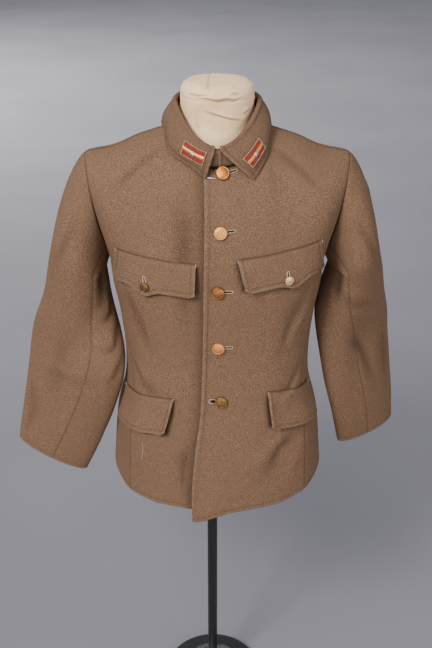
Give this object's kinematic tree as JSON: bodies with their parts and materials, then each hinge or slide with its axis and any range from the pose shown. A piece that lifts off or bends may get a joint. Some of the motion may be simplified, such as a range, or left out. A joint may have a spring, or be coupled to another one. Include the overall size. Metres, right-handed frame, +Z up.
{
  "type": "military dress tunic on a dress form stand",
  "caption": "Hip-length wool tunic with turn-down collar, four pocket flaps and two-piece sleeves, hollow, on a limbless dress form with a pole and round base.",
  "frame": {"origin": "on the floor, at the middle of the stand base's underside", "axes": "+Z up along the pole, -Y out of the tunic's front, +X towards the wearer's left"},
  "size_m": [0.709, 0.2809, 1.2693],
  "materials": {
    "wool_cloth": "brown drab woollen cloth with a short nap",
    "collar_wool": "the same woollen cloth, pressed",
    "brass": "stamped and worn brass",
    "tab_cloth": "dark red felt",
    "gold_braid": "gold wire braid",
    "star_metal": "pale plated metal",
    "hook_steel": "bent steel wire",
    "canvas": "cream cotton canvas over the form",
    "black_metal": "black enamel",
    "ring_steel": "turned steel collar with a bright edge"
  },
  "bodies": {
    "root": {"back": "wool_cloth", "base_plate": "black_metal", "base_ring": "ring_steel", "button_1": "brass", "button_2": "brass", "button_3": "brass", "button_4": "brass", "button_5": "brass", "chest_flap_left": "wool_cloth", "chest_flap_right": "wool_cloth", "collar_hook": "hook_steel", "collar_leaf": "collar_wool", "collar_stand": "collar_wool", "flap_button_left": "brass", "flap_button_right": "brass", "form_cap": "canvas", "form_torso": "canvas", "front_left": "wool_cloth", "front_right": "wool_cloth", "hip_flap_left": "wool_cloth", "hip_flap_right": "wool_cloth", "pole": "black_metal", "pole_flange": "black_metal", "sleeve_under_left": "wool_cloth", "sleeve_under_right": "wool_cloth", "sleeve_upper_left": "wool_cloth", "sleeve_upper_right": "wool_cloth", "tab_left": "tab_cloth", "tab_right": "tab_cloth", "tab_star_left": "star_metal", "tab_star_right": "star_metal", "tab_stripe_left": "gold_braid", "tab_stripe_right": "gold_braid"}
  },
  "joints": []
}
